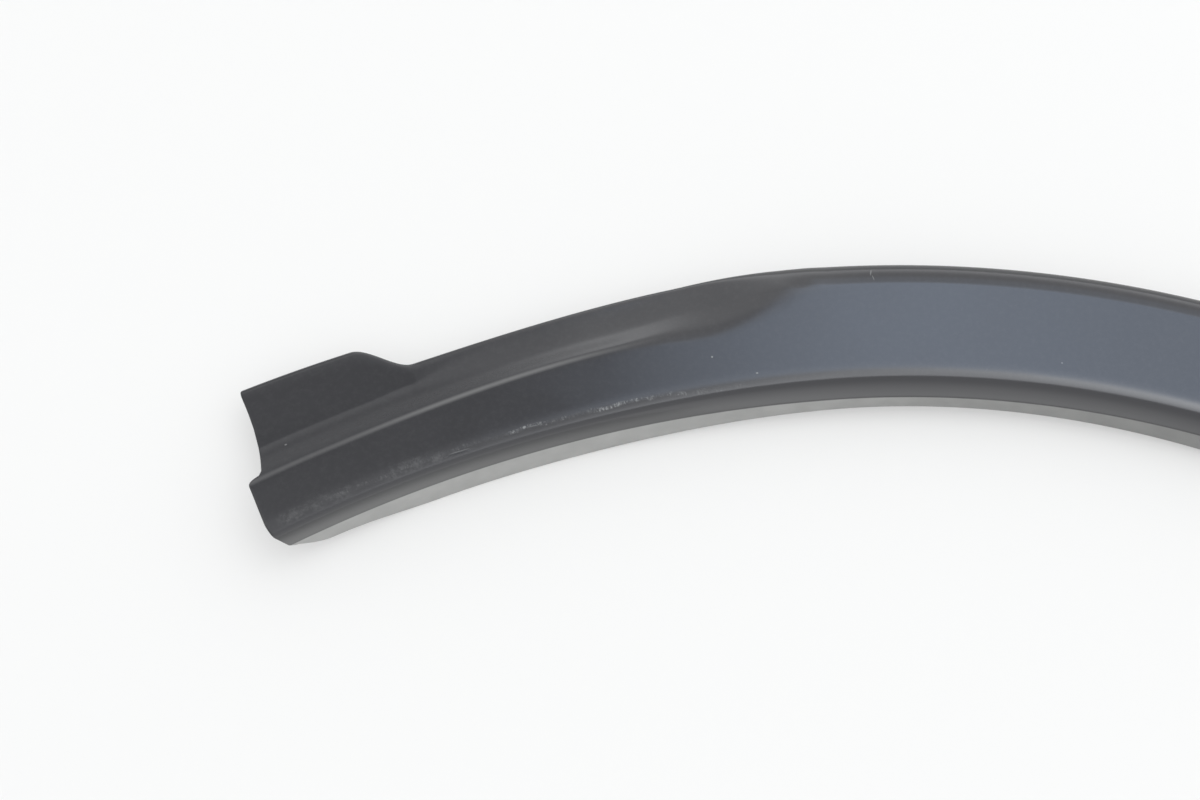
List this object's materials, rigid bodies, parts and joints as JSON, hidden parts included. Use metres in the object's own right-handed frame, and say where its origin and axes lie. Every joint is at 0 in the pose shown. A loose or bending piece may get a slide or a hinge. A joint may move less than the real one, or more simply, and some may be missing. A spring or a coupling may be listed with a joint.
{
  "type": "wheel arch trim",
  "caption": "Curved moulded plastic trim for the edge of a car's wheel arch: flat face, sloped inner edge, lip, recessed flange with an end tab, clip towers on its hollow back.",
  "frame": {"origin": "centre of the bounding box, at its bottom, on the surface the trim lies on", "axes": "+X along the trim's length from its left end, +Y away from the wheel, +Z out of the visible face"},
  "size_m": [0.7676, 0.4106, 0.024],
  "materials": {
    "moulded_plastic": "satin dark grey, moulded in colour"
  },
  "bodies": {
    "root": {"arch_trim": "moulded_plastic"}
  },
  "joints": []
}
